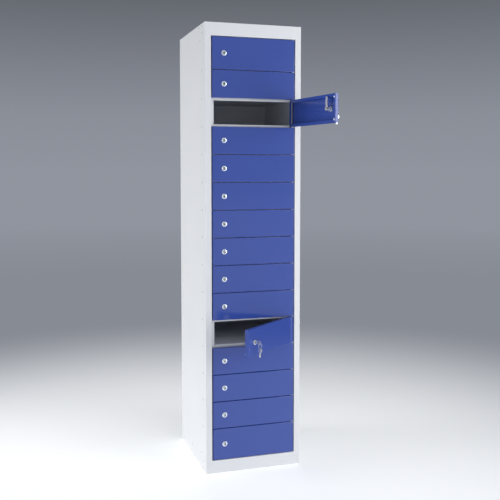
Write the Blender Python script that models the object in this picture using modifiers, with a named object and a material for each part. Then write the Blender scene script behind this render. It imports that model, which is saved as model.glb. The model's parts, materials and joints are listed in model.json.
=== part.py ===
"""Column locker: fifteen small steel doors on one hinge rod, each with a key-operated cam lock.

Metres, +Z up. The origin is the middle of the base, on the floor. +X is to the right of someone
who faces the doors, and the doors are on the -Y side. Two doors stand open with keys in their locks.
"""

import math

import bmesh
import bpy
from mathutils import Matrix, Vector

# Cabinet
WIDTH, DEPTH, HEIGHT = 0.400, 0.450, 1.800
SHEET = 0.0012
FIT = 0.0003                      # gap between pieces that touch
FLANGE = 0.022                    # folded edge of the top and base sheets
THROUGH = 0.010                   # how far a cutter reaches past what it cuts

# Front frame, all depths measured back from its face
STILE, RAIL = 0.0247, 0.052       # width of the frame beside, and above or below, the doors
FRAME_RETURN = 0.018              # the frame's folded edge round the cabinet's corners
STOP_DEPTH = 0.0188               # where the door stop starts
STOP_SIDE, STOP_END = 0.0147, 0.010

# Doors
DOORS = 15
END_BAY = 0.130                   # the top and bottom bays are taller than the others
DOOR_GAP = 0.0022                 # above and below each door
HINGE_GAP, LOCK_GAP = 0.003, 0.0045   # between a door's sides and the frame
DOOR_SHEET, DOOR_PAN, DOOR_LIP = 0.001, 0.015, 0.012
LIP_NOTCH = 0.009                 # the hinge-side lip stops this far from the door's ends
OPEN_DEGREES = {3: 99.0, 11: 39.5}

# Hinge
PIVOT_IN, PIVOT_BACK = 0.008, 0.007   # pivot from the door's edge, and behind its face
ROD_RADIUS, ROD_HOLE = 0.0020, 0.0023
LUG_THICK, LUG_FRONT = 0.0012, 0.0026

# Shelves
SHELF_SHEET = 0.001
LIP_ABOVE, LIP_BELOW = 0.0085, 0.0080   # front lip above and below the gap between two doors

# Locks
LOCK_FROM_SIDE = 0.077            # lock axis from the cabinet's left side
BEZEL_RADIUS, BEZEL_PROUD = 0.0105, 0.002
BARREL_RADIUS, BARREL_END = 0.0085, 0.0175
PLUG_RADIUS, PLUG_BORE = 0.0055, 0.0058
PLUG_FRONT = -0.0015
CAM_START, CAM_THICK = 0.0210, 0.002
CAM_WIDTH, CAM_REACH = 0.014, 0.046
HUB_RADIUS, HUB_PROUD = 0.008, 0.0002
NUT_RADIUS, NUT_THICK = 0.0065, 0.003
SLOT_WIDE, SLOT_HIGH, SLOT_DEEP = 0.0026, 0.0086, 0.0185

# Keys
BLADE_THICK, BLADE_HIGH, BLADE_LONG = 0.0020, 0.0075, 0.0182
BOW_THICK, BOW_RADIUS = 0.0022, 0.0092
KEY_HOLE, HOLE_FROM_BOW = 0.0026, 0.0057
BOW_FRONT = -0.0180               # depth of the inserted key's bow centre, in front of the face
WIRE_RADIUS, RING_RADIUS = 0.0009, 0.0100
WIRE_DROP = 0.0013                # how far a hanging wire lies from the centre of a key's hole

# Places worked out from the above
FRONT = -DEPTH / 2
BACK = DEPTH / 2
OPENING = WIDTH / 2 - STILE                   # half the width between the stiles
SILL, HEAD = RAIL, HEIGHT - RAIL
PITCH = (HEAD - SILL - 2 * END_BAY) / (DOORS - 2)
PIVOT_X = OPENING - HINGE_GAP - PIVOT_IN
PIVOT_Y = FRONT + PIVOT_BACK
LOCK_X = LOCK_FROM_SIDE - WIDTH / 2
STOP_BACK = STOP_DEPTH + SHEET

COLOURS = {
    "grey_paint": ((0.68, 0.70, 0.73, 1.0), 0.42, 0.0),
    "blue_paint": ((0.030, 0.060, 0.320, 1.0), 0.30, 0.0),
    "chrome": ((0.75, 0.76, 0.78, 1.0), 0.18, 1.0),
    "zinc_steel": ((0.55, 0.56, 0.58, 1.0), 0.35, 1.0),
}


def clear_scene():
    for thing in list(bpy.data.objects):
        bpy.data.objects.remove(thing, do_unlink=True)


def new_collection(name):
    group = bpy.data.collections.new(name)
    bpy.context.scene.collection.children.link(group)
    return group


def make_material(name):
    colour, roughness, metallic = COLOURS[name]
    material = bpy.data.materials.new(name)
    material.use_nodes = True
    shader = material.node_tree.nodes["Principled BSDF"]
    shader.inputs["Base Color"].default_value = colour
    shader.inputs["Roughness"].default_value = roughness
    shader.inputs["Metallic"].default_value = metallic
    return material


def gap_height(number):
    """Height of the gap below door `number`; 0 is the head and DOORS the sill."""
    if number == 0:
        return HEAD
    if number == DOORS:
        return SILL
    return HEAD - END_BAY - PITCH * (number - 1)


def door_span(number):
    """Bottom and top edge of a door. The end doors keep a whole gap to the frame."""
    low, high = gap_height(number), gap_height(number - 1)
    low += DOOR_GAP if number == DOORS else DOOR_GAP / 2
    high -= DOOR_GAP if number == 1 else DOOR_GAP / 2
    return low, high


# Shape helpers ------------------------------------------------------------------------------

def object_from(bm, name, group):
    mesh = bpy.data.meshes.new(name)
    bmesh.ops.recalc_face_normals(bm, faces=bm.faces)
    bm.to_mesh(mesh)
    bm.free()
    thing = bpy.data.objects.new(name, mesh)
    group.objects.link(thing)
    return thing


def add_box(bm, low, high):
    low, high = Vector(low), Vector(high)
    place = Matrix.Translation((low + high) / 2) @ Matrix.Diagonal((*(high - low), 1.0))
    bmesh.ops.create_cube(bm, size=1.0, matrix=place)


def add_rod(bm, radius, start, end, segments=20):
    """A cylinder between two points that differ along Y or Z."""
    start, end = Vector(start), Vector(end)
    run = end - start
    turn = Vector((0, 0, 1)).rotation_difference(run).to_matrix().to_4x4()
    place = Matrix.Translation((start + end) / 2) @ turn
    bmesh.ops.create_cone(bm, cap_ends=True, segments=segments, radius1=radius, radius2=radius,
                          depth=run.length, matrix=place)


def boxes(name, group, *corners):
    bm = bmesh.new()
    for low, high in corners:
        add_box(bm, low, high)
    return object_from(bm, name, group)


def rods(name, group, radius, *ends, segments=20):
    bm = bmesh.new()
    for start, end in ends:
        add_rod(bm, radius, start, end, segments)
    return object_from(bm, name, group)


def as_tool(thing):
    thing.hide_render = True
    thing.display_type = "WIRE"
    return thing


def combine(thing, operation, tool):
    step = thing.modifiers.new(tool.name, "BOOLEAN")
    step.operation = operation
    step.solver = "EXACT"
    step.object = as_tool(tool)


def cut(thing, tool):
    combine(thing, "DIFFERENCE", tool)


def join(thing, tool):
    combine(thing, "UNION", tool)


def finished_mesh(pattern, name):
    """The pattern's mesh with its modifiers applied, for several objects to share."""
    as_tool(pattern)
    bpy.context.view_layer.update()
    mesh = bpy.data.meshes.new_from_object(pattern.evaluated_get(bpy.context.evaluated_depsgraph_get()))
    mesh.name = name
    return mesh


def smooth(mesh):
    mesh.shade_smooth()
    mesh.set_sharp_from_angle(angle=math.radians(35))


def place(name, mesh, group, material, parent=None, at=(0, 0, 0)):
    thing = bpy.data.objects.new(name, mesh)
    thing.parent = parent
    thing.location = at
    group.objects.link(thing)
    if not mesh.materials:
        mesh.materials.append(material)
    return thing


def paint(thing, material):
    thing.data.materials.append(material)


def folded_sheet(name, group, outline, run, thickness, material):
    """A sheet bent along `outline` and drawn out along `run`, thickened towards path x run."""
    bm = bmesh.new()
    first = [bm.verts.new(point) for point in outline]
    second = [bm.verts.new(Vector(point) + Vector(run)) for point in outline]
    for i in range(len(outline) - 1):
        bm.faces.new((first[i], first[i + 1], second[i + 1], second[i]))
    mesh = bpy.data.meshes.new(name)
    bm.to_mesh(mesh)
    bm.free()
    thing = bpy.data.objects.new(name, mesh)
    group.objects.link(thing)
    shell = thing.modifiers.new("sheet", "SOLIDIFY")
    shell.thickness = thickness
    shell.offset = 1.0
    shell.use_even_offset = True
    paint(thing, material)
    return thing


# Cabinet ------------------------------------------------------------------------------------

def make_side_panels(parts, material):
    """Each side is a flat sheet between the frame's folded edge and the back."""
    front, back, top = FRONT + FRAME_RETURN + FIT, BACK - SHEET - FIT, HEIGHT - SHEET - FIT
    outer, inner = WIDTH / 2, WIDTH / 2 - SHEET
    paint(boxes("side_panel_left", parts, ((-outer, front, 0), (-inner, back, top))), material)
    paint(boxes("side_panel_right", parts, ((inner, front, 0), (outer, back, top))), material)


def make_back_panel(parts, material):
    low = (-WIDTH / 2, BACK - SHEET, 0)
    high = (WIDTH / 2, BACK, HEIGHT - SHEET - FIT)
    paint(boxes("back_panel", parts, (low, high)), material)


def make_base_panel(parts, material):
    """The base is a flat sheet whose side edges fold up beside the side panels."""
    front, back = FRONT + SHEET + FIT, BACK - SHEET - FIT
    half = WIDTH / 2 - SHEET - FIT
    path = [(-half, front, FLANGE), (-half, front, 0), (half, front, 0), (half, front, FLANGE)]
    folded_sheet("base_panel", parts, path, (0, back - front, 0), SHEET, material)


def make_top_panel(parts, material):
    """A cap sheet over the sides and the back, with two folds that hang inside the side panels."""
    front = FRONT + FRAME_RETURN + FIT
    half, folds_back = WIDTH / 2, BACK - SHEET - FIT
    outer = half - SHEET - FIT
    top = boxes("top_panel", parts, ((-half, front, HEIGHT - SHEET), (half, BACK, HEIGHT)))
    folds = [((left, front, HEIGHT - FLANGE), (left + SHEET, folds_back, HEIGHT - SHEET / 2))
             for left in (-outer, outer - SHEET)]
    join(top, boxes("top_folds", TOOLS, *folds))
    paint(top, material)


def frame_returns():
    """The frame's folded edges: one down each side and one along the top."""
    front, back = FRONT + SHEET / 2, FRONT + FRAME_RETURN
    outer, inner = WIDTH / 2, WIDTH / 2 - SHEET
    bm = bmesh.new()
    add_box(bm, (-outer, front, 0), (-inner, back, HEIGHT))
    add_box(bm, (inner, front, 0), (outer, back, HEIGHT))
    sides = object_from(bm, "frame_side_returns", TOOLS)
    join(sides, boxes("frame_top_return", TOOLS, ((-outer, front, HEIGHT - SHEET), (outer, back, HEIGHT))))
    return sides


def make_front_frame(parts, material):
    """One welded frame: face sheet, folded edges, recess round the doors, door stop and hinge lugs."""
    face_back, stop, stop_back = FRONT + SHEET, FRONT + STOP_DEPTH, FRONT + STOP_BACK
    clear = FRONT - THROUGH
    frame = boxes("front_frame", parts, ((-WIDTH / 2, FRONT, 0), (WIDTH / 2, face_back, HEIGHT)))
    join(frame, frame_returns())
    join(frame, boxes("frame_recess_block", TOOLS,
                      ((-OPENING - SHEET, FRONT + SHEET / 2, SILL - SHEET),
                       (OPENING + SHEET, stop_back, HEAD + SHEET))))
    cut(frame, boxes("frame_recess", TOOLS, ((-OPENING, clear, SILL), (OPENING, stop, HEAD))))
    side, end = OPENING - STOP_SIDE, STOP_END
    cut(frame, boxes("frame_stop_opening", TOOLS,
                     ((-side, clear, SILL + end), (side, stop_back + THROUGH, HEAD - end))))
    heights = [lug_height(number) for number in range(DOORS + 1)]
    lugs = [((side, FRONT + LUG_FRONT, z - LUG_THICK / 2),
             (OPENING + SHEET / 2, stop + SHEET / 2, z + LUG_THICK / 2)) for z in heights]
    holes = [((PIVOT_X, PIVOT_Y, z - LUG_THICK), (PIVOT_X, PIVOT_Y, z + LUG_THICK)) for z in heights]
    join(frame, boxes("frame_lugs", TOOLS, *lugs))
    cut(frame, rods("frame_lug_holes", TOOLS, ROD_HOLE, *holes, segments=12))
    paint(frame, material)


def lug_height(number):
    if number == 0:
        return HEAD - DOOR_GAP / 2
    if number == DOORS:
        return SILL + DOOR_GAP / 2
    return gap_height(number)


def make_hinge_rod(parts, material):
    rod = rods("hinge_rod", parts, ROD_RADIUS,
               ((PIVOT_X, PIVOT_Y, SILL + FIT), (PIVOT_X, PIVOT_Y, HEAD - FIT)), segments=12)
    smooth(rod.data)
    paint(rod, material)


def make_shelf(number, parts, material):
    """A shelf: one sheet whose front edge folds down behind the door stops."""
    top = gap_height(number) + LIP_ABOVE if number < DOORS else SILL + STOP_END - FIT
    bottom = top - LIP_ABOVE - LIP_BELOW
    half = WIDTH / 2 - SHEET - FIT
    front, rear = FRONT + STOP_BACK + FIT, BACK - SHEET - FIT
    path = [(-half, front, bottom), (-half, front, top), (-half, rear, top)]
    folded_sheet(f"shelf_{number:02d}", parts, path, (2 * half, 0, 0), SHELF_SHEET, material)


# Doors and locks ----------------------------------------------------------------------------

def door_mesh(name, height):
    """A door pan about its pivot: folded edges with inner lips, notched at the hinge, and the lock's case."""
    right, left = PIVOT_IN, PIVOT_IN - 2 * OPENING + HINGE_GAP + LOCK_GAP
    face, rear = -PIVOT_BACK, DOOR_PAN - PIVOT_BACK
    up = height / 2
    t, lip = DOOR_SHEET, DOOR_LIP
    pan = boxes(name, TOOLS, ((left, face, -up), (right, rear, up)))
    cut(pan, boxes(name + "_hollow", TOOLS, ((left + t, face + t, -up + t), (right - t, rear - t, up - t))))
    cut(pan, boxes(name + "_mouth", TOOLS,
                   ((left + lip, rear - 2 * t, -up + lip), (right - lip, rear + t, up - lip))))
    notches = [((right - lip - t, rear - 2 * t, low), (right - t, rear + t, low + LIP_NOTCH))
               for low in (t - up, up - t - LIP_NOTCH)]
    cut(pan, boxes(name + "_notches", TOOLS, *notches))
    cut(pan, rods(name + "_pin_holes", TOOLS, ROD_HOLE,
                  *[((0, 0, z - 2 * t), (0, 0, z + 2 * t)) for z in (-up, up)], segments=12))
    lock = lock_in_door()
    join(pan, rods(name + "_bezel", TOOLS, BEZEL_RADIUS,
                   (lock + Vector((0, -BEZEL_PROUD, 0)), lock + Vector((0, t / 2, 0)))))
    join(pan, rods(name + "_barrel", TOOLS, BARREL_RADIUS, (lock, lock + Vector((0, BARREL_END, 0)))))
    cut(pan, rods(name + "_bore", TOOLS, PLUG_BORE, (lock + Vector((0, -BEZEL_PROUD - THROUGH, 0)),
                                                     lock + Vector((0, BARREL_END + THROUGH, 0)))))
    return finished_mesh(pan, name)


def lock_in_door():
    """The lock axis on the door's face, from the pivot."""
    return Vector((LOCK_X - PIVOT_X, -PIVOT_BACK, 0))


def lock_mesh():
    """Key plug and cam about the lock axis, from the door's face backwards. The cam points up: unlocked."""
    plug = rods("lock_plug", TOOLS, PLUG_RADIUS, ((0, PLUG_FRONT, 0), (0, CAM_START + CAM_THICK / 2, 0)))
    arm_low = (-CAM_WIDTH / 2, CAM_START, 0)
    arm_high = (CAM_WIDTH / 2, CAM_START + CAM_THICK, CAM_REACH)
    join(plug, boxes("lock_cam_arm", TOOLS, (arm_low, arm_high)))
    join(plug, rods("lock_cam_hub", TOOLS, HUB_RADIUS,
                    ((0, CAM_START - HUB_PROUD, 0), (0, CAM_START + CAM_THICK + HUB_PROUD, 0))))
    nut_end = CAM_START + CAM_THICK + NUT_THICK
    join(plug, rods("lock_nut", TOOLS, NUT_RADIUS, ((0, CAM_START + CAM_THICK / 2, 0), (0, nut_end, 0)),
                    segments=6))
    cut(plug, boxes("lock_slot", TOOLS,
                    ((-SLOT_WIDE / 2, -THROUGH, -SLOT_HIGH / 2), (SLOT_WIDE / 2, SLOT_DEEP, SLOT_HIGH / 2))))
    return finished_mesh(plug, "lock")


def disc_across_x(name, radius, thickness, centre, segments):
    bm = bmesh.new()
    turn = Matrix.Translation(centre) @ Matrix.Rotation(math.pi / 2, 4, "Y")
    bmesh.ops.create_cone(bm, cap_ends=True, segments=segments, radius1=radius, radius2=radius,
                          depth=thickness, matrix=turn)
    return object_from(bm, name, TOOLS)


def key_mesh():
    """A flat key about the centre of its ring hole. Its blade points to +Y and its plate faces X."""
    bow = Vector((0, HOLE_FROM_BOW, 0))
    half, tip = BLADE_THICK / 2, HOLE_FROM_BOW + BOW_RADIUS + BLADE_LONG
    key = boxes("key_pattern", TOOLS, ((-half, bow.y, -BLADE_HIGH / 2), (half, tip, BLADE_HIGH / 2)))
    join(key, disc_across_x("key_bow", BOW_RADIUS, BOW_THICK, bow, 24))
    cut(key, disc_across_x("key_ring_hole", KEY_HOLE, BOW_THICK + THROUGH, Vector(), 16))
    return finished_mesh(key, "key")


def ring_mesh():
    """A key ring hanging from its top wire, in the plane of X and Z."""
    bpy.ops.mesh.primitive_torus_add(major_radius=RING_RADIUS, minor_radius=WIRE_RADIUS,
                                     major_segments=28, minor_segments=6,
                                     location=(0, 0, -RING_RADIUS), rotation=(math.pi / 2, 0, 0))
    pattern = bpy.context.object
    pattern.data.transform(pattern.matrix_world)
    mesh = pattern.data
    mesh.name = "key_ring"
    bpy.data.objects.remove(pattern, do_unlink=True)
    smooth(mesh)
    return mesh


def make_doors(parts, paints):
    meshes = {}
    lock = lock_mesh()
    smooth(lock)
    for number in range(1, DOORS + 1):
        low, high = door_span(number)
        height = round(high - low, 6)
        if height not in meshes:
            meshes[height] = door_mesh(f"door_{round(height * 1000)}mm", height)
            smooth(meshes[height])
        hinge = bpy.data.objects.new(f"hinge_axis_{number:02d}", None)
        parts.objects.link(hinge)
        hinge.location = (PIVOT_X, PIVOT_Y, (low + high) / 2)
        hinge.rotation_euler.z = math.radians(OPEN_DEGREES.get(number, 0.0))
        place(f"door_{number:02d}", meshes[height], parts, paints["blue_paint"], hinge)
        cam = place(f"lock_{number:02d}", lock, parts, paints["chrome"], hinge, lock_in_door())
        if number in OPEN_DEGREES:
            make_keys(number, parts, paints, cam)


def make_keys(number, parts, paints, cam):
    """A key in the lock, a ring through its bow and a spare key hanging from the ring."""
    key, ring = KEY_MESHES
    hole = (0, BOW_FRONT - HOLE_FROM_BOW, 0)
    placed = place(f"key_{number:02d}", key, parts, paints["zinc_steel"], cam, hole)
    hung = place(f"key_ring_{number:02d}", ring, parts, paints["zinc_steel"], placed, (0, 0, -WIRE_DROP))
    spare = place(f"spare_key_{number:02d}", key, parts, paints["zinc_steel"], hung,
                  (0, 0, -2 * RING_RADIUS - WIRE_DROP))
    spare.rotation_euler.x = -math.pi / 2


clear_scene()
PARTS = new_collection("column_locker")
TOOLS = new_collection("cutters")
PAINTS = {name: make_material(name) for name in COLOURS}
KEY_MESHES = (key_mesh(), ring_mesh())
make_side_panels(PARTS, PAINTS["grey_paint"])
make_back_panel(PARTS, PAINTS["grey_paint"])
make_top_panel(PARTS, PAINTS["grey_paint"])
make_base_panel(PARTS, PAINTS["grey_paint"])
make_front_frame(PARTS, PAINTS["grey_paint"])
make_hinge_rod(PARTS, PAINTS["zinc_steel"])
for shelf_number in range(1, DOORS + 1):
    make_shelf(shelf_number, PARTS, PAINTS["grey_paint"])
make_doors(PARTS, PAINTS)
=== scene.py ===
"""Looks of the column locker: bent sheet metal, cam locks, keys, paint, studio and camera.

Metres, +Z up, doors on the -Y side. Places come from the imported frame; the named values below
are only the sizes of details that the frame's boxes and joints don't give.
"""

import json
import math

import bmesh
import bpy
from mathutils import Matrix, Vector


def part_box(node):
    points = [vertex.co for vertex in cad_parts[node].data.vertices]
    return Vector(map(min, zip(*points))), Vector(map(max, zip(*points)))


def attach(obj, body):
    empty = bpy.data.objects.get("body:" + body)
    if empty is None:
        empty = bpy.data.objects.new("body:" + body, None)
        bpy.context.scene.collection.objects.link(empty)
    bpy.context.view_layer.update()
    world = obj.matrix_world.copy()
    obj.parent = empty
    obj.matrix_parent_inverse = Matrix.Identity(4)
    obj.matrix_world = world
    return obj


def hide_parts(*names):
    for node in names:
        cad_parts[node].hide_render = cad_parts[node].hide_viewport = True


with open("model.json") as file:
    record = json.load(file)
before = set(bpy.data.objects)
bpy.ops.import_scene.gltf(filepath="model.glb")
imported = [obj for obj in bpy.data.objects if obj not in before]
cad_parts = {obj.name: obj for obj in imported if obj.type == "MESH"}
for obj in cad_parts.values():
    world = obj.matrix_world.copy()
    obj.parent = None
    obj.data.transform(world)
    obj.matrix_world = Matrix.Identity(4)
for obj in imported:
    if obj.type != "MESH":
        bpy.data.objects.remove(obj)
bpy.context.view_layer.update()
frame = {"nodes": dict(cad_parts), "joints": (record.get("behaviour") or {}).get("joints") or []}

JOINTS = {joint["name"]: joint for joint in frame["joints"]}
DOORS = sum(name.endswith("_hinge") for name in JOINTS)
KEYED = [int(name[-2:]) for name in sorted(frame["nodes"]) if name.startswith("spare_key_")]

# Cabinet, from the frame
FRAME_LOW, FRAME_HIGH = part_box("front_frame")
FRONT, HALF, HEIGHT = FRAME_LOW.y, FRAME_HIGH.x, FRAME_HIGH.z
STOP_BACK = FRAME_HIGH.y - FRONT
SIDE_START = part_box("side_panel_left")[0].y
CLOSED_LOW, CLOSED_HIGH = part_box("door_02")
TOP_LOW, TOP_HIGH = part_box("door_01")
DOOR_GAP = TOP_LOW.z - CLOSED_HIGH.z
CLOSED_PIVOT = Vector(JOINTS["door_02_hinge"]["pos_m"])

# Sheet metal
SHEET, DOOR_SHEET = 0.0012, 0.001
BEND, DOOR_BEND = 0.0016, 0.0022   # outer radius of a fold
FIT = 0.0003
HINGE_GAP = 0.003                 # between a door's hinge side and the frame
STOP_SIDE, STOP_END = 0.0147, 0.010
LUG_THICK, LUG_FRONT, LUG_NOSE = 0.0012, 0.0026, 0.0040
ROD_HOLE = 0.0023                 # radius of the hinge rod's holes
WELD_RADIUS, WELD_DEPTH = 0.0039, 0.0009
WELD_COLUMN = 0.051               # from the front of the cabinet to the welds at the shelves

# Doors, about the pivot
DOOR_LEFT, DOOR_RIGHT = CLOSED_LOW.x - CLOSED_PIVOT.x, CLOSED_HIGH.x - CLOSED_PIVOT.x
DOOR_FACE = FRONT - CLOSED_PIVOT.y
DOOR_DEEP, DOOR_LIP = 0.015, 0.012
LIP_NOTCH, MITRE_GAP = 0.010, 0.0006
PLATE_WIDE, PLATE_THICK, PLATE_MARGIN, PLATE_CORNER = 0.084, 0.0008, 0.014, 0.003
BUFFER_RADIUS, BUFFER_THICK, BUFFER_FROM_END = 0.0042, 0.0014, 0.0125

# Locks and keys
BEZEL_RADIUS, BEZEL_PROUD = 0.0105, 0.002
BARREL_RADIUS, BARREL_END, THREAD = 0.0085, 0.0175, 0.00035
PLUG_RADIUS, PLUG_BORE, PLUG_FRONT = 0.0055, 0.0058, -0.0010
COLLAR_RADIUS, THREAD_PITCH = 0.0078, 0.001
SLOT_WIDE, SLOT_HIGH, SLOT_DEEP = 0.0026, 0.0086, 0.0185
WELL_WIDE, WELL_HIGH, WELL_DEEP = 0.0070, 0.0098, 0.0016   # oval hollow in the plug's face
CAM_START, CAM_THICK, CAM_WIDTH, CAM_REACH = 0.0210, 0.002, 0.014, 0.046
NUT_RADIUS, NUT_THICK = 0.0065, 0.003
CASE_NUT_RADIUS, CASE_NUT_THICK = 0.0125, 0.0035
KEY_THICK, BOW_RADIUS, HOLE_FROM_BOW, KEY_HOLE = 0.0020, 0.0092, 0.0057, 0.0026
BLADE_HIGH, BLADE_LONG, SHOULDER = 0.0075, 0.0182, 0.0052
KEY_CUTS = (0.0012, 0.0021, 0.0009, 0.0024, 0.0015)        # depths along the blade
RING_RADIUS, WIRE_RADIUS, WIRE_DROP = 0.0100, 0.00044, 0.0013


# Materials ----------------------------------------------------------------------------------

def new_material(name, metallic=0.0, roughness=0.5, specular=0.5):
    material = bpy.data.materials.new(name)
    material.use_nodes = True
    shader = material.node_tree.nodes["Principled BSDF"]
    shader.inputs["Metallic"].default_value = metallic
    shader.inputs["Roughness"].default_value = roughness
    shader.inputs["Specular IOR Level"].default_value = specular
    return material, shader


def noise(material, scale, detail, stretch=(1.0, 1.0, 1.0)):
    """A noise texture in the piece's own space, so that it stays put when the piece moves."""
    nodes, links = material.node_tree.nodes, material.node_tree.links
    place = nodes.new("ShaderNodeTexCoord")
    mapping = nodes.new("ShaderNodeMapping")
    mapping.inputs["Scale"].default_value = stretch
    texture = nodes.new("ShaderNodeTexNoise")
    texture.inputs["Scale"].default_value = scale
    texture.inputs["Detail"].default_value = detail
    links.new(place.outputs["Object"], mapping.inputs["Vector"])
    links.new(mapping.outputs["Vector"], texture.inputs["Vector"])
    return texture.outputs["Fac"]


def ramp(material, source, stops):
    """A colour ramp over `source`; `stops` are (position, colour)."""
    node = material.node_tree.nodes.new("ShaderNodeValToRGB")
    elements = node.color_ramp.elements
    while len(elements) < len(stops):
        elements.new(0.5)
    for element, (position, colour) in zip(elements, stops):
        element.position = position
        element.color = (*colour, 1.0)
    material.node_tree.links.new(source, node.inputs["Fac"])
    return node.outputs["Color"]


def remap(material, source, low, high, start=0.3, end=0.7):
    """`source` mapped from start…end to low…high; the defaults suit a noise texture."""
    node = material.node_tree.nodes.new("ShaderNodeMapRange")
    node.inputs["From Min"].default_value = start
    node.inputs["From Max"].default_value = end
    node.inputs["To Min"].default_value = low
    node.inputs["To Max"].default_value = high
    material.node_tree.links.new(source, node.inputs["Value"])
    return node.outputs["Result"]


def bump(material, shader, height, strength, distance):
    node = material.node_tree.nodes.new("ShaderNodeBump")
    node.inputs["Strength"].default_value = strength
    node.inputs["Distance"].default_value = distance
    material.node_tree.links.new(height, node.inputs["Height"])
    material.node_tree.links.new(node.outputs["Normal"], shader.inputs["Normal"])


def tinted(colour, factor):
    return tuple(channel * factor for channel in colour)


def powder_coat(name, colour, gloss, peel, spread=0.03, specular=0.5):
    """Baked powder paint: orange peel, faint cloudiness and a slightly uneven gloss."""
    material, shader = new_material(name, specular=specular)
    cloud = noise(material, 5.0, 3.0)
    links = material.node_tree.links
    stops = [(0.3, tinted(colour, 1 - spread)), (0.7, tinted(colour, 1 + spread))]
    links.new(ramp(material, cloud, stops), shader.inputs["Base Color"])
    links.new(remap(material, noise(material, 9.0, 1.0), gloss - 0.02, gloss + 0.02),
              shader.inputs["Roughness"])
    bump(material, shader, noise(material, 380.0, 1.0), peel, 0.0003)
    return material


def metal(name, colour, gloss, grain, stretch=(1.0, 1.0, 1.0)):
    """Plated metal with fine scratches along the short axis of `stretch`."""
    material, shader = new_material(name, metallic=1.0)
    scratches = noise(material, grain, 6.0, stretch)
    links = material.node_tree.links
    stops = [(0.25, tinted(colour, 0.88)), (0.75, tinted(colour, 1.06))]
    links.new(ramp(material, scratches, stops), shader.inputs["Base Color"])
    links.new(remap(material, scratches, gloss - 0.05, gloss + 0.09), shader.inputs["Roughness"])
    bump(material, shader, scratches, 0.12, 0.0001)
    return material


def plastic(name, colour, gloss):
    material, shader = new_material(name)
    grain = noise(material, 600.0, 3.0)
    stops = [(0.2, tinted(colour, 0.9)), (0.8, tinted(colour, 1.1))]
    material.node_tree.links.new(ramp(material, grain, stops), shader.inputs["Base Color"])
    shader.inputs["Roughness"].default_value = gloss
    bump(material, shader, grain, 0.15, 0.0001)
    return material


def matt(name, colour):
    """A dull dark surface that mirrors nothing, even at a slant; used as painted shade inside the keyway."""
    material, shader = new_material(name, roughness=0.9, specular=0.0)
    shader.inputs["Base Color"].default_value = (*colour, 1.0)
    return material


GREY = powder_coat("grey_powder_coat", (0.70, 0.712, 0.735), 0.42, 0.08, 0.010)
# Painted shade: a darker grey for the faces inside the compartments, whose real paint is the same grey as the
# outside.
INSIDE_PAINTED_SHADE = powder_coat("grey_powder_coat_painted_shade_inside", (0.60, 0.615, 0.66), 0.50, 0.10)
# Painted shade: a dark grey in the weld dents, standing for the shading of the shallow dimples.
WELD_DENT_PAINTED_SHADE = powder_coat("weld_dent_painted_shade", (0.29, 0.30, 0.33), 0.50, 0.10, 0.010)
BLUE = powder_coat("blue_powder_coat", (0.034, 0.070, 0.322), 0.11, 0.02, 0.02, specular=0.62)
CHROME = metal("polished_chrome", (0.80, 0.86, 0.95), 0.22, 300.0)
# Painted shade: near-black inside the plug's hollow and key slot, where shade falls on the chrome.
KEYWAY_PAINTED_SHADE = matt("keyway_painted_shade", (0.010, 0.011, 0.015))
ZINC = metal("bright_zinc", (0.66, 0.67, 0.69), 0.30, 500.0, (1.0, 1.0, 0.08))
KEY = metal("nickel_plate", (0.72, 0.74, 0.78), 0.26, 700.0, (1.0, 0.1, 1.0))
NYLON = plastic("pale_nylon", (0.55, 0.62, 0.74), 0.45)


# Mesh tools ---------------------------------------------------------------------------------

def to_object(bm, name):
    mesh = bpy.data.meshes.new(name)
    bmesh.ops.remove_doubles(bm, verts=bm.verts, dist=1e-6)
    bm.to_mesh(mesh)
    bm.free()
    thing = bpy.data.objects.new(name, mesh)
    bpy.context.scene.collection.objects.link(thing)
    return thing


def finished(thing, sharp=35.0):
    """The object's mesh with its modifiers applied, shaded smooth over folds and flat elsewhere."""
    thing.data.shade_smooth()
    mesh = bpy.data.meshes.new_from_object(evaluated(thing))
    bpy.data.objects.remove(thing, do_unlink=True)
    mesh.shade_smooth()
    mesh.set_sharp_from_angle(angle=math.radians(sharp))
    return weighted(mesh)


def weighted(mesh):
    """Normals that keep large flat faces flat beside their rounded edges."""
    holder = bpy.data.objects.new("holder", mesh)
    bpy.context.scene.collection.objects.link(holder)
    normals = holder.modifiers.new("normals", "WEIGHTED_NORMAL")
    normals.keep_sharp = True
    normals.weight = 100
    result = bpy.data.meshes.new_from_object(evaluated(holder))
    bpy.data.objects.remove(holder, do_unlink=True)
    return result


def thicken(thing, thickness):
    """Gives an open surface its sheet thickness, behind the side that its faces look to."""
    shell = thing.modifiers.new("sheet", "SOLIDIFY")
    shell.thickness = thickness
    shell.offset = -1.0
    shell.use_even_offset = True


def round_edges(thing, width, segments=2):
    step = thing.modifiers.new("edges", "BEVEL")
    step.width = width
    step.segments = segments
    step.limit_method = "ANGLE"
    step.angle_limit = math.radians(40)


def cut(thing, bm):
    tool = to_object(bm, thing.name + "_cutter")
    step = thing.modifiers.new("cut", "BOOLEAN")
    step.operation = "DIFFERENCE"
    step.solver = "EXACT"
    step.object = tool
    mesh = bpy.data.meshes.new_from_object(evaluated(thing))
    thing.modifiers.clear()
    thing.data = mesh
    bpy.data.objects.remove(tool, do_unlink=True)


def evaluated(thing):
    bpy.context.view_layer.update()
    return thing.evaluated_get(bpy.context.evaluated_depsgraph_get())


def add_box(bm, low, high):
    low, high = Vector(low), Vector(high)
    place = Matrix.Translation((low + high) / 2) @ Matrix.Diagonal((*(high - low), 1.0))
    bmesh.ops.create_cube(bm, size=1.0, matrix=place)


def add_rod(bm, radius, start, end, segments=32, tip=None):
    """A cylinder, or a cone where `tip` is given, between two points."""
    start, end = Vector(start), Vector(end)
    run = end - start
    turn = Vector((0, 0, 1)).rotation_difference(run).to_matrix().to_4x4()
    bmesh.ops.create_cone(bm, cap_ends=True, segments=segments, radius1=radius,
                          radius2=radius if tip is None else tip, depth=run.length,
                          matrix=Matrix.Translation((start + end) / 2) @ turn)


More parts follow.
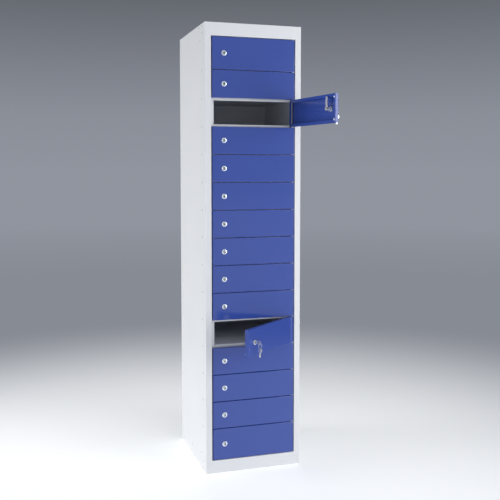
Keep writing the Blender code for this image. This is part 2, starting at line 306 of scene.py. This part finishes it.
def rounded(path, radius, segments=4):
    """A flat path whose inner points are turned into arcs."""
    points = [Vector(path[0])]
    for before, corner, after in zip(path, path[1:], path[2:]):
        corner = Vector(corner)
        back = (Vector(before) - corner).normalized()
        on = (Vector(after) - corner).normalized()
        half = back.angle(on) / 2
        centre = corner + (back + on).normalized() * radius / math.sin(half)
        start = corner + back * radius / math.tan(half) - centre
        end = corner + on * radius / math.tan(half) - centre
        points += [centre + start.slerp(end, step / segments).normalized() * radius
                   for step in range(segments + 1)]
    return points + [Vector(path[-1])]


def add_lathe(bm, profile, segments=40, closed=True):
    """A profile of (radius, depth) points turned about the Y axis; an open one ends on the axis."""
    rings = []
    for step in range(segments):
        angle = 2 * math.pi * step / segments
        rings.append([bm.verts.new((radius * math.cos(angle), depth, radius * math.sin(angle)))
                      for radius, depth in profile])
    for ring, following in zip(rings, rings[1:] + rings[:1]):
        for i in range(len(profile) if closed else len(profile) - 1):
            j = (i + 1) % len(profile)
            bm.faces.new((ring[i], following[i], following[j], ring[j]))


def flat_piece(name, outlines, thickness, edge):
    """A flat plate from closed outlines in a plane; outlines after the first are holes."""
    curve = bpy.data.curves.new(name, "CURVE")
    curve.dimensions = "2D"
    curve.fill_mode = "BOTH"
    curve.extrude = thickness / 2 - edge
    curve.bevel_depth = edge
    curve.offset = -edge
    curve.bevel_resolution = 1
    for outline in outlines:
        spline = curve.splines.new("POLY")
        spline.points.add(len(outline) - 1)
        for point, (across, up) in zip(spline.points, outline):
            point.co = (across, up, 0.0, 1.0)
        spline.use_cyclic_u = True
    thing = bpy.data.objects.new(name, curve)
    bpy.context.scene.collection.objects.link(thing)
    mesh = bpy.data.meshes.new_from_object(evaluated(thing))
    bpy.data.objects.remove(thing, do_unlink=True)
    bm = bmesh.new()
    bm.from_mesh(mesh)
    bmesh.ops.remove_doubles(bm, verts=bm.verts, dist=1e-6)
    bmesh.ops.recalc_face_normals(bm, faces=bm.faces)
    return bm


def circle(radius, centre=(0.0, 0.0), steps=40, start=0.0, end=2 * math.pi):
    """Points round a circle, or along an arc of it that keeps its last point."""
    whole = abs(end - start - 2 * math.pi) < 1e-9
    count = steps if whole else steps + 1
    return [(centre[0] + radius * math.cos(start + (end - start) * i / steps),
             centre[1] + radius * math.sin(start + (end - start) * i / steps)) for i in range(count)]


def paint_faces(mesh, materials, choose):
    """Gives the mesh its materials, and each face the one whose number `choose` returns."""
    for material in materials:
        mesh.materials.append(material)
    for face in mesh.polygons:
        face.material_index = choose(face)


def show(name, mesh, material, body, nodes=(), at=Matrix.Identity(4)):
    """A visible piece on a body; `nodes` are the CAD nodes it stands for."""
    piece = bpy.data.objects.new(name, mesh)
    bpy.context.scene.collection.objects.link(piece)
    if not mesh.materials:
        mesh.materials.append(material)
    piece.matrix_world = at
    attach(piece, body)
    if nodes:
        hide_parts(*nodes)
    return piece


# Cabinet ------------------------------------------------------------------------------------

def frame_stations():
    """Corner points of the folded frame sheet, from its outer edge round to the door stop.

    Each station is (side inset, top inset, bottom inset, depth). The frame has no fold at its foot.
    """
    stile, rail = HALF - CLOSED_HIGH.x - HINGE_GAP, HEIGHT - TOP_HIGH.z - DOOR_GAP
    returned, stop = SIDE_START - FIT - FRONT, STOP_BACK - SHEET

    def profile(width, reach):
        return rounded([(0, returned), (0, 0), (width, 0), (width, stop), (width + reach, stop)], BEND)

    across, along = profile(stile, STOP_SIDE), profile(rail, STOP_END)
    outer = len(across) // 3
    return [(a.x, b.x, 0.0 if i <= outer else b.x, a.y) for i, (a, b) in enumerate(zip(across, along))], outer


def make_front_frame():
    stations, outer = frame_stations()
    bm = bmesh.new()
    rings = [[bm.verts.new(point) for point in (
        (side - HALF, FRONT + depth, low), (HALF - side, FRONT + depth, low),
        (HALF - side, FRONT + depth, HEIGHT - top), (side - HALF, FRONT + depth, HEIGHT - top))]
        for side, top, low, depth in stations]
    for index, (ring, following) in enumerate(zip(rings, rings[1:])):
        for corner in range(4):
            if corner == 0 and index < outer:
                continue
            after = (corner + 1) % 4
            bm.faces.new((ring[corner], ring[after], following[after], following[corner]))
    thing = to_object(bm, "front_frame_sheet")
    thicken(thing, SHEET)
    show("front_frame_sheet", finished(thing), GREY, "cabinet", ["front_frame"])


def lug_heights():
    """One lug in each gap between doors, and one above and below them all."""
    spans = [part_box(f"door_{number:02d}") for number in range(1, DOORS + 1)]
    between = [(upper[0].z + lower[1].z) / 2 for upper, lower in zip(spans, spans[1:])]
    return [spans[0][1].z + HINGE_GAP / 2] + between + [spans[-1][0].z - HINGE_GAP / 2]


def make_hinge_lugs():
    """Small plates with rounded noses that stand out from the stop and carry the hinge rod."""
    opening = CLOSED_HIGH.x + HINGE_GAP
    left, near, far = opening - STOP_SIDE, FRONT + LUG_FRONT, FRONT + STOP_BACK - SHEET
    nose = (circle(LUG_NOSE, (opening - LUG_NOSE, near + LUG_NOSE), 6, 0.0, -math.pi / 2)
            + circle(LUG_NOSE, (left + LUG_NOSE, near + LUG_NOSE), 6, -math.pi / 2, -math.pi))
    outline = [(opening, far)] + nose + [(left, far)]
    hole = circle(ROD_HOLE, (CLOSED_PIVOT.x, CLOSED_PIVOT.y), 16)
    plate = flat_piece("hinge_lug", [outline, hole], LUG_THICK, 0.0002)
    pattern = to_object(plate, "hinge_lug").data
    bm = bmesh.new()
    for height in lug_heights():
        fresh = len(bm.verts)
        bm.from_mesh(pattern)
        bm.verts.ensure_lookup_table()
        bmesh.ops.translate(bm, verts=bm.verts[fresh:], vec=(0, 0, height))
    bpy.data.objects.remove(bpy.data.objects["hinge_lug"], do_unlink=True)
    show("hinge_lugs", finished(to_object(bm, "hinge_lugs")), GREY, "cabinet")


def side_welds():
    """Spot welds on a side sheet: one at each shelf, and a few where it meets the top and the base."""
    column = [(WELD_COLUMN, height) for height in lug_heights()[1:-1]]
    top = [(0.048, HEIGHT - 0.010), (0.094, HEIGHT - 0.010), (0.045, HEIGHT - 0.037), (0.077, HEIGHT - 0.064)]
    base = [(0.055, 0.007), (0.043, 0.039), (0.078, 0.0655), (0.240, 0.045), (0.398, 0.022)]
    return [(FRONT + back, height) for back, height in column + top + base]


def side_paint(face, outside, outward):
    """0 on the outside of a side sheet, 1 on the face it turns to the compartments (a darker grey, painted
    shade), 2 in a weld's dent (darker still, painted shade).
    """
    if face.normal.x * outward < -0.9:
        return 1
    depth = (outside - face.center.x) * outward
    in_dent = depth > 0.0001 and face.normal.x * outward > 0.2 and face.area < 1e-4
    return 2 if in_dent else 0


def make_side_panels():
    for name, outward in (("side_panel_left", -1), ("side_panel_right", 1)):
        low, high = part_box(name)
        bm = bmesh.new()
        add_box(bm, low, high)
        thing = to_object(bm, name + "_sheet")
        round_edges(thing, 0.0004)
        cutter = bmesh.new()
        outside = high.x if outward > 0 else low.x
        for y, z in side_welds():
            add_rod(cutter, WELD_RADIUS * 1.6, (outside + outward * WELD_DEPTH, y, z),
                    (outside - outward * WELD_DEPTH, y, z), 20, tip=WELD_RADIUS * 0.4)
        cut(thing, cutter)
        mesh = finished(thing, 25)
        # The inner face and the weld dents take darker greys as painted shade.
        paint_faces(mesh, (GREY, INSIDE_PAINTED_SHADE, WELD_DENT_PAINTED_SHADE), lambda face: side_paint(face, outside, outward))
        show(name + "_sheet", mesh, GREY, "cabinet", [name])


def softened(node, width):
    """A copy of a CAD node's mesh with its edges rounded."""
    thing = bpy.data.objects.new(node + "_copy", frame["nodes"][node].data.copy())
    bpy.context.scene.collection.objects.link(thing)
    thing.data.materials.clear()
    bm = bmesh.new()
    bm.from_mesh(thing.data)
    bmesh.ops.remove_doubles(bm, verts=bm.verts, dist=1e-6)
    bmesh.ops.dissolve_limit(bm, angle_limit=math.radians(1), verts=bm.verts, edges=bm.edges)
    bm.to_mesh(thing.data)
    bm.free()
    round_edges(thing, width)
    return finished(thing)


def make_top_base_and_back():
    for node, width in (("top_panel", 0.0005), ("base_panel", 0.0004), ("back_panel", 0.0005)):
        mesh = softened(node, width)
        # The back panel's inner face takes the darker grey, as painted shade inside the compartments.
        paint_faces(mesh, (GREY, INSIDE_PAINTED_SHADE), lambda face: int(node == "back_panel" and face.normal.y < -0.9))
        show(node + "_sheet", mesh, GREY, "cabinet", [node])


def make_shelves():
    """Each shelf is one sheet with a rounded fold at its front lip."""
    for number in range(1, DOORS + 1):
        node = f"shelf_{number:02d}"
        low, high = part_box(node)
        path = rounded([(low.y, low.z), (low.y, high.z), (high.y, high.z)], BEND)
        bm = bmesh.new()
        left = [bm.verts.new((low.x, *point)) for point in path]
        right = [bm.verts.new((high.x, *point)) for point in path]
        for i in range(len(path) - 1):
            bm.faces.new((left[i], right[i], right[i + 1], left[i + 1]))
        thing = to_object(bm, node + "_sheet")
        thicken(thing, DOOR_SHEET)
        mesh = finished(thing)
        # The shelf's top and underside take the darker grey, as painted shade inside the compartments; its
        # front lip keeps the outside grey.
        paint_faces(mesh, (GREY, INSIDE_PAINTED_SHADE), lambda face: int(abs(face.normal.z) > 0.9))
        show(node + "_sheet", mesh, GREY, "cabinet", [node])


def make_hinge_rod():
    low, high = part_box("hinge_rod")
    radius, centre = (high.x - low.x) / 2, (low + high) / 2
    bm = bmesh.new()
    add_rod(bm, radius, (centre.x, centre.y, low.z), (centre.x, centre.y, high.z), 24)
    thing = to_object(bm, "hinge_rod_turned")
    round_edges(thing, radius * 0.3)
    show("hinge_rod_turned", finished(thing), ZINC, "cabinet", ["hinge_rod"])


# Doors --------------------------------------------------------------------------------------

def door_place(number):
    """The door's frame at rest: origin on its pivot at mid-height, +Y into the closed cabinet."""
    pivot = Vector(JOINTS[f"door_{number:02d}_hinge"]["pos_m"])
    axis = JOINTS[f"lock_{number:02d}_turn"]["axis"]
    return Matrix.Translation(pivot) @ Matrix.Rotation(math.atan2(-axis[0], axis[1]), 4, "Z")


def lip_ends(side, inset):
    """How far from each end of a side its inner lip stops. Sides: 0 foot, 1 hinge, 2 head, 3 free."""
    mitre, hinge_end = inset + MITRE_GAP, DOOR_LIP + DOOR_SHEET
    return {0: (mitre, hinge_end), 1: (LIP_NOTCH, LIP_NOTCH), 2: (hinge_end, mitre), 3: (mitre, mitre)}[side]


def door_sheet(up):
    """The door's outer surface: face, four folded edges and four inner lips, with mitred corners."""
    path = rounded([(DOOR_LIP, 0), (0, 0), (0, DOOR_DEEP), (DOOR_LIP, DOOR_DEEP)], DOOR_BEND)[1:]
    fold = len(path) // 2
    corners = [Vector(point) for point in
               ((DOOR_LEFT, -up), (DOOR_RIGHT, -up), (DOOR_RIGHT, up), (DOOR_LEFT, up))]
    bm = bmesh.new()

    def vert(side, station, ends, which):
        inset, depth = station
        start, stop = corners[side], corners[(side + 1) % 4]
        along = (stop - start).normalized()
        inward = Vector((-along.y, along.x))
        spot = start + along * ends[0] if which == 0 else stop - along * ends[1]
        spot = spot + inward * inset
        return bm.verts.new((spot.x, DOOR_FACE + depth, spot.y))

    for side in range(4):
        for index, (near, far) in enumerate(zip(path, path[1:])):
            ends = [(point.x, point.x) if index < fold - 1 else lip_ends(side, point.x)
                    for point in (near, far)]
            if index == fold - 1:
                whole = (0.0, 0.0)
                bm.faces.new((vert(side, near, whole, 1), vert(side, near, whole, 0),
                              vert(side, far, whole, 0), vert(side, far, ends[1], 0),
                              vert(side, far, ends[1], 1), vert(side, far, whole, 1)))
                continue
            bm.faces.new((vert(side, near, ends[0], 1), vert(side, near, ends[0], 0),
                          vert(side, far, ends[1], 0), vert(side, far, ends[1], 1)))
    bm.faces.new([vert(side, path[0], (DOOR_BEND, DOOR_BEND), 0) for side in range(4)])
    return bm


def door_mesh(height):
    """Folded door pan with holes for its lock and for the hinge rod."""
    up, lock = height / 2, lock_in_door()
    thing = to_object(door_sheet(up), "door_pan")
    thicken(thing, DOOR_SHEET)
    holes = bmesh.new()
    add_rod(holes, BARREL_RADIUS, lock + Vector((0, -0.01, 0)), lock + Vector((0, 0.006, 0)))
    for end in (-up, up):
        add_rod(holes, ROD_HOLE, (0, 0, end - 0.003), (0, 0, end + 0.003), 16)
    cut(thing, holes)
    return finished(thing)


def plate_mesh(height):
    """A stiffening plate behind the lock, spot-welded to the back of the face."""
    lock = lock_in_door()
    tall = height - 2 * PLATE_MARGIN
    corner = PLATE_CORNER
    outline = []
    for across, upward, start in ((1, 1, 0.0), (-1, 1, 0.5), (-1, -1, 1.0), (1, -1, 1.5)):
        centre = (across * (PLATE_WIDE / 2 - corner), upward * (tall / 2 - corner))
        outline += circle(corner, centre, 4, start * math.pi, (start + 0.5) * math.pi)
    bm = flat_piece("plate", [outline, circle(BARREL_RADIUS, steps=32)], PLATE_THICK, 0.0002)
    middle = lock + Vector((0, DOOR_SHEET + PLATE_THICK / 2, 0))
    turn = Matrix.Translation(middle) @ Matrix.Rotation(math.pi / 2, 4, "X")
    bmesh.ops.transform(bm, matrix=turn, verts=bm.verts)
    return finished(to_object(bm, "plate"))


def buffer_mesh(height):
    """Two soft pads on the free edge's lip, which meet the door stop."""
    bm = bmesh.new()
    x, y = DOOR_LEFT + DOOR_LIP / 2, DOOR_FACE + DOOR_DEEP
    for z in (height / 2 - BUFFER_FROM_END, BUFFER_FROM_END - height / 2):
        add_rod(bm, BUFFER_RADIUS, (x, y - 0.0002, z), (x, y + BUFFER_THICK, z), 24, tip=BUFFER_RADIUS * 0.9)
    thing = to_object(bm, "buffers")
    round_edges(thing, 0.0005, 3)
    return finished(thing)


def lock_in_door():
    """The lock axis on the closed door's face, from the pivot."""
    return Vector(JOINTS["lock_02_turn"]["pos_m"]) - CLOSED_PIVOT


def lock_case_mesh():
    """Bezel, threaded barrel and fixing nut, about the lock axis."""
    front = [(PLUG_BORE, -0.0006), (PLUG_BORE + 0.0007, -BEZEL_PROUD + 0.0002),
             (PLUG_BORE + 0.0012, -BEZEL_PROUD)]
    dome = rounded([(PLUG_BORE + 0.0014, -BEZEL_PROUD), (BEZEL_RADIUS, -BEZEL_PROUD + 0.0004),
                    (BEZEL_RADIUS, -0.0001)], 0.0009)
    thread = []
    for turn in range(int((BARREL_END - 0.0015) / THREAD_PITCH)):
        start = 0.001 + turn * THREAD_PITCH
        thread += [(BARREL_RADIUS - THREAD, start + THREAD_PITCH * 0.15),
                   (BARREL_RADIUS, start + THREAD_PITCH * 0.5), (BARREL_RADIUS, start + THREAD_PITCH * 0.65)]
    rear = [(BARREL_RADIUS - 0.0006, BARREL_END - 0.0002), (BARREL_RADIUS - 0.0009, BARREL_END),
            (PLUG_BORE, BARREL_END)]
    bm = bmesh.new()
    add_lathe(bm, front + [tuple(point) for point in dome] + [(BARREL_RADIUS, -0.0001)] + thread + rear)
    bmesh.ops.recalc_face_normals(bm, faces=bm.faces)
    nut_start = DOOR_SHEET + PLATE_THICK
    nut = bmesh.new()
    add_rod(nut, CASE_NUT_RADIUS, (0, nut_start, 0), (0, nut_start + CASE_NUT_THICK, 0), 6)
    nut_thing = to_object(nut, "case_nut")
    round_edges(nut_thing, 0.0004)
    bm.from_mesh(finished(nut_thing))
    return finished(to_object(bm, "lock_case"))


def key_well():
    """A cutter for the oval hollow in the plug's face."""
    well, half, straight = bmesh.new(), WELL_WIDE / 2, (WELL_HIGH - WELL_WIDE) / 2
    oval = (circle(half, (0.0, straight), 12, 0.0, math.pi)
            + circle(half, (0.0, -straight), 12, math.pi, 2 * math.pi))
    front, back = ([well.verts.new((x, y, z)) for x, z in oval] for y in (-0.01, PLUG_FRONT + WELL_DEEP))
    well.faces.new(front)
    well.faces.new(back)
    for i in range(len(oval)):
        well.faces.new((front[i - 1], front[i], back[i], back[i - 1]))
    bmesh.ops.recalc_face_normals(well, faces=well.faces)
    return well


def plug_paint(face):
    """1 inside the plug's hollow and key slot, which take a near-black painted shade; 0 elsewhere."""
    middle, near = face.center, 1e-5
    across = abs(middle.x) < WELL_WIDE / 2 + near and abs(middle.z) < WELL_HIGH / 2 + near
    return int(across and PLUG_FRONT + 1e-4 < middle.y < SLOT_DEEP + 1e-4)


def plug_mesh():
    """The key plug with its slot, and the collar behind the barrel."""
    collar_start, collar_end = BARREL_END + FIT, CAM_START - FIT
    profile = [(0.0, PLUG_FRONT + 0.0001), (PLUG_RADIUS - 0.0004, PLUG_FRONT),
               (PLUG_RADIUS, PLUG_FRONT + 0.0004), (PLUG_RADIUS, collar_start),
               (COLLAR_RADIUS - 0.0004, collar_start), (COLLAR_RADIUS, collar_start + 0.0004),
               (COLLAR_RADIUS, collar_end), (0.0, collar_end)]
    bm = bmesh.new()
    add_lathe(bm, profile, closed=False)
    bmesh.ops.remove_doubles(bm, verts=bm.verts, dist=1e-6)
    bmesh.ops.dissolve_degenerate(bm, edges=bm.edges, dist=1e-7)
    bmesh.ops.recalc_face_normals(bm, faces=bm.faces)
    thing = to_object(bm, "plug")
    cut(thing, key_well())
    slot = bmesh.new()
    add_box(slot, (-SLOT_WIDE / 2, -0.01, -SLOT_HIGH / 2), (SLOT_WIDE / 2, SLOT_DEEP, SLOT_HIGH / 2))
    cut(thing, slot)
    mesh = finished(thing)
    # The hollow and key slot are painted near black as painted shade.
    paint_faces(mesh, (CHROME, KEYWAY_PAINTED_SHADE), plug_paint)
    return mesh


def cam_mesh():
    """The cam, pointing up, with its washer and nut."""
    half = CAM_WIDTH / 2
    tip = CAM_REACH - half
    outline = (circle(half, (0.0, tip), 14, 0.0, math.pi)
               + circle(half * 1.15, (0.0, 0.0), 20, math.radians(150), math.radians(390)))
    bm = flat_piece("cam", [outline], CAM_THICK, 0.0003)
    turn = Matrix.Translation((0, CAM_START + CAM_THICK / 2, 0)) @ Matrix.Rotation(math.pi / 2, 4, "X")
    bmesh.ops.transform(bm, matrix=turn, verts=bm.verts)
    cam_end = CAM_START + CAM_THICK
    hardware = bmesh.new()
    add_rod(hardware, NUT_RADIUS * 1.12, (0, cam_end - 0.0001, 0), (0, cam_end + 0.0006, 0), 32)
    add_rod(hardware, NUT_RADIUS, (0, cam_end + 0.0005, 0), (0, cam_end + NUT_THICK, 0), 6)
    thing = to_object(hardware, "cam_nut")
    round_edges(thing, 0.00025)
    bm.from_mesh(finished(thing))
    return finished(to_object(bm, "cam"))


def make_doors():
    plug, cam, case = plug_mesh(), cam_mesh(), lock_case_mesh()
    sheets = {}
    for number in range(1, DOORS + 1):
        tag, body, at = f"{number:02d}", f"door_{number:02d}", door_place(number)
        low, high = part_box(body)
        height = round(high.z - low.z, 5)
        if height not in sheets:
            sheets[height] = door_mesh(height), plate_mesh(height), buffer_mesh(height)
        pan, plate, buffers = sheets[height]
        show(f"door_pan_{tag}", pan, BLUE, body, [body], at)
        show(f"door_lock_plate_{tag}", plate, BLUE, body, at=at)
        show(f"door_buffers_{tag}", buffers, NYLON, body, at=at)
        axis = at @ Matrix.Translation(lock_in_door())
        show(f"lock_case_{tag}", case, CHROME, body, at=axis)
        show(f"lock_plug_{tag}", plug, CHROME, f"lock_{tag}", [f"lock_{tag}"], axis)
        show(f"lock_cam_{tag}", cam, ZINC, f"lock_{tag}", at=axis)


# Keys ---------------------------------------------------------------------------------------

def key_mesh():
    """A flat key about the centre of its ring hole: round bow, shoulders and a cut blade along +Y."""
    shoulder = HOLE_FROM_BOW + math.sqrt(BOW_RADIUS ** 2 - SHOULDER ** 2)
    start = math.asin(SHOULDER / BOW_RADIUS)
    bow = circle(BOW_RADIUS, (HOLE_FROM_BOW, 0.0), 36, start, 2 * math.pi - start)
    blade, edge = HOLE_FROM_BOW + BOW_RADIUS, BLADE_HIGH / 2
    tip = blade + BLADE_LONG
    step = (BLADE_LONG - 0.0045) / len(KEY_CUTS)
    teeth = []
    for index, deep in enumerate(KEY_CUTS):
        start_at = blade + 0.002 + index * step
        teeth += [(start_at, -edge), (start_at + step * 0.35, -edge + deep),
                  (start_at + step * 0.65, -edge + deep)]
    lower = [(shoulder + 0.0012, -SHOULDER), (shoulder + 0.0016, -edge)] + teeth
    upper = [(tip - 0.0025, -edge), (tip, -edge + 0.0025), (tip, edge - 0.0012), (tip - 0.0012, edge),
             (shoulder + 0.0016, edge), (shoulder + 0.0012, SHOULDER)]
    bm = flat_piece("key", [bow + lower + upper, circle(KEY_HOLE, steps=20)], KEY_THICK, 0.0002)
    upright = Matrix(((0, 0, 1, 0), (1, 0, 0, 0), (0, 1, 0, 0), (0, 0, 0, 1)))
    bmesh.ops.transform(bm, matrix=upright, verts=bm.verts)
    thing = to_object(bm, "key")
    grooves = bmesh.new()
    for side in (-1, 1):
        face = side * KEY_THICK / 2
        low = 0.0002 * side
        add_box(grooves, (face - 0.0004, blade - 0.001, low), (face + 0.0004, tip + 0.001, low + 0.0011))
    cut(thing, grooves)
    return finished(thing)


def ring_mesh():
    """A split ring of two turns, hanging from its top wire in the plane of X and Z."""
    curve = bpy.data.curves.new("key_ring", "CURVE")
    curve.dimensions = "3D"
    curve.bevel_depth = WIRE_RADIUS
    curve.bevel_resolution = 2
    curve.use_fill_caps = True
    spline = curve.splines.new("POLY")
    turns, per_turn = 2, 40
    count = turns * per_turn
    spline.points.add(count)
    for index in range(count + 1):
        angle = 2 * math.pi * index / per_turn + math.pi / 3
        depth = WIRE_RADIUS * (2 * index / count - 1) * 1.02
        spline.points[index].co = (RING_RADIUS * math.sin(angle), depth,
                                   RING_RADIUS * (math.cos(angle) - 1), 1.0)
    thing = bpy.data.objects.new("key_ring", curve)
    bpy.context.scene.collection.objects.link(thing)
    mesh = bpy.data.meshes.new_from_object(evaluated(thing))
    bpy.data.objects.remove(thing, do_unlink=True)
    bm = bmesh.new()
    bm.from_mesh(mesh)
    return finished(to_object(bm, "key_ring"))


def make_keys():
    key, ring = key_mesh(), ring_mesh()
    for number in KEYED:
        tag = f"{number:02d}"
        turn = door_place(number).to_quaternion().to_matrix().to_4x4()
        wire = Vector(JOINTS[f"key_ring_{tag}_swing"]["pos_m"])
        foot = Vector(JOINTS[f"spare_key_{tag}_swing"]["pos_m"])
        drop = Vector((0, 0, WIRE_DROP))
        show(f"key_cut_{tag}", key, KEY, f"lock_{tag}", [f"key_{tag}"],
             Matrix.Translation(wire + drop) @ turn)
        show(f"split_ring_{tag}", ring, ZINC, f"key_ring_{tag}", [f"key_ring_{tag}"],
             Matrix.Translation(wire) @ turn)
        hung = Matrix.Translation(foot - drop) @ turn @ Matrix.Rotation(-math.pi / 2, 4, "X")
        show(f"spare_key_cut_{tag}", key, KEY, f"spare_key_{tag}", [f"spare_key_{tag}"], hung)


# Studio -------------------------------------------------------------------------------------

WALL = (0.280, 0.298, 0.342)      # the studio wall at eye level
GLOW = (0.92, 0.95, 1.0)          # the light that the studio's walls give
LOW_GLOW, HIGH_GLOW = 0.92, 0.60  # its strength at the front, below and above the horizon
FLOOR_FADE = (0.5, 3.1)           # where the pale floor starts and ends fading, from the locker
WALL_SHADE = (6.0, 14.0)          # where the far floor goes from a darker wall grey to the wall's own


def make_camera():
    lens = bpy.data.cameras.new("camera")
    lens.lens = 55.85
    lens.sensor_width = 36.0
    lens.shift_y = -0.05
    camera = bpy.data.objects.new("camera", lens)
    camera.location = (-0.949, -3.190, 1.221)
    camera.rotation_euler = (math.radians(90 - 3.98), 0.0, math.radians(-17.47))
    bpy.context.scene.collection.objects.link(camera)
    bpy.context.scene.camera = camera


def from_the_front(nodes, links, vector, strongest):
    """How strongly the studio glows in a direction: most from the front, least from behind."""
    towards = nodes.new("ShaderNodeVectorMath")
    towards.operation = "DOT_PRODUCT"
    towards.inputs[1].default_value = (-0.26, -0.96, 0.0)
    spread = nodes.new("ShaderNodeMapRange")
    for name, value in (("From Min", -0.3), ("From Max", 1.0), ("To Min", 0.10), ("To Max", strongest)):
        spread.inputs[name].default_value = value
    links.new(vector, towards.inputs[0])
    links.new(towards.outputs["Value"], spread.inputs["Value"])
    return spread.outputs["Result"]


def make_floor():
    """A pale floor that fades, away from the locker, into the grey of the studio's wall."""
    bm = bmesh.new()
    bmesh.ops.create_circle(bm, cap_ends=True, segments=96, radius=30.0)
    floor = to_object(bm, "floor")
    material = bpy.data.materials.new("studio_floor")
    material.use_nodes = True
    nodes, links = material.node_tree.nodes, material.node_tree.links
    nodes.clear()
    place = nodes.new("ShaderNodeTexCoord")
    distance = nodes.new("ShaderNodeVectorMath")
    distance.operation = "LENGTH"
    fade = nodes.new("ShaderNodeMapRange")
    fade.interpolation_type = "SMOOTHSTEP"
    fade.inputs["From Min"].default_value, fade.inputs["From Max"].default_value = FLOOR_FADE
    near = nodes.new("ShaderNodeBsdfPrincipled")
    near.inputs["Base Color"].default_value = (0.92, 0.93, 0.95, 1.0)
    near.inputs["Roughness"].default_value = 0.55
    near.inputs["Emission Color"].default_value = (0.97, 0.985, 1.0, 1.0)
    near.inputs["Emission Strength"].default_value = 0.36
    seen, glow = nodes.new("ShaderNodeEmission"), nodes.new("ShaderNodeEmission")
    deepen = remap(material, distance.outputs["Value"], 0.0, 1.0, *WALL_SHADE)
    links.new(ramp(material, deepen, [(0.0, tinted(WALL, 0.87)), (1.0, WALL)]), seen.inputs["Color"])
    glow.inputs["Color"].default_value = (*GLOW, 1.0)
    around = nodes.new("ShaderNodeVectorMath")
    around.operation = "NORMALIZE"
    path = nodes.new("ShaderNodeLightPath")
    far = nodes.new("ShaderNodeMixShader")
    blend = nodes.new("ShaderNodeMixShader")
    out = nodes.new("ShaderNodeOutputMaterial")
    links.new(place.outputs["Object"], around.inputs[0])
    links.new(from_the_front(nodes, links, around.outputs["Vector"], LOW_GLOW), glow.inputs["Strength"])
    links.new(path.outputs["Is Camera Ray"], far.inputs["Fac"])
    links.new(glow.outputs["Emission"], far.inputs[1])
    links.new(seen.outputs["Emission"], far.inputs[2])
    links.new(place.outputs["Object"], distance.inputs[0])
    links.new(distance.outputs["Value"], fade.inputs["Value"])
    links.new(fade.outputs["Result"], blend.inputs["Fac"])
    links.new(near.outputs["BSDF"], blend.inputs[1])
    links.new(far.outputs["Shader"], blend.inputs[2])
    links.new(blend.outputs["Shader"], out.inputs["Surface"])
    floor.data.materials.append(material)


def make_world():
    """Soft light, stronger from the front; the camera sees a grey wall that darkens upwards."""
    world = bpy.data.worlds.new("studio")
    world.use_nodes = True
    bpy.context.scene.world = world
    nodes, links = world.node_tree.nodes, world.node_tree.links
    nodes.clear()
    place = nodes.new("ShaderNodeTexCoord")
    split = nodes.new("ShaderNodeSeparateXYZ")
    wall = nodes.new("ShaderNodeValToRGB")
    elements = wall.color_ramp.elements
    for position, colour in ((0.07, (0.258, 0.274, 0.315)), (0.127, (0.208, 0.222, 0.258)),
                             (0.182, (0.156, 0.168, 0.194))):
        elements.new(position).color = (*colour, 1.0)
    elements[0].color = (*WALL, 1.0)
    elements[-1].position = 0.25
    elements[-1].color = (0.095, 0.104, 0.120, 1.0)
    seen = nodes.new("ShaderNodeBackground")
    light = nodes.new("ShaderNodeBackground")
    light.inputs["Color"].default_value = (*GLOW, 1.0)
    links.new(from_the_front(nodes, links, place.outputs["Generated"], HIGH_GLOW), light.inputs["Strength"])
    path = nodes.new("ShaderNodeLightPath")
    pick = nodes.new("ShaderNodeMixShader")
    out = nodes.new("ShaderNodeOutputWorld")
    links.new(place.outputs["Generated"], split.inputs[0])
    links.new(split.outputs["Z"], wall.inputs["Fac"])
    links.new(wall.outputs["Color"], seen.inputs["Color"])
    links.new(path.outputs["Is Camera Ray"], pick.inputs["Fac"])
    links.new(light.outputs["Background"], pick.inputs[1])
    links.new(seen.outputs["Background"], pick.inputs[2])
    links.new(pick.outputs["Shader"], out.inputs["Surface"])


def area_light(name, place, aim, size, power, colour=(1.0, 1.0, 1.0)):
    data = bpy.data.lights.new(name, "AREA")
    data.shape = "RECTANGLE"
    data.size, data.size_y = size
    data.energy = power
    data.color = colour
    lamp = bpy.data.objects.new(name, data)
    lamp.location = place
    lamp.rotation_euler = (Vector(aim) - Vector(place)).to_track_quat("-Z", "Y").to_euler()
    bpy.context.scene.collection.objects.link(lamp)


def make_lights():
    low = (0.0, 0.0, HEIGHT * 0.3)
    area_light("right_window", (1.85, -2.15, 1.1), low, (1.4, 2.1), 44)
    area_light("left_window", (-2.7, 0.5, 0.95), low, (1.6, 1.4), 52, (1.0, 0.995, 0.985))
    area_light("overhead", (0.0, -1.2, 3.6), low, (3.0, 2.4), 9)


bpy.context.scene.view_settings.view_transform = "Standard"
make_camera()
make_front_frame()
make_hinge_lugs()
make_side_panels()
make_top_base_and_back()
make_shelves()
make_hinge_rod()
make_doors()
make_keys()
make_floor()
make_world()
make_lights()
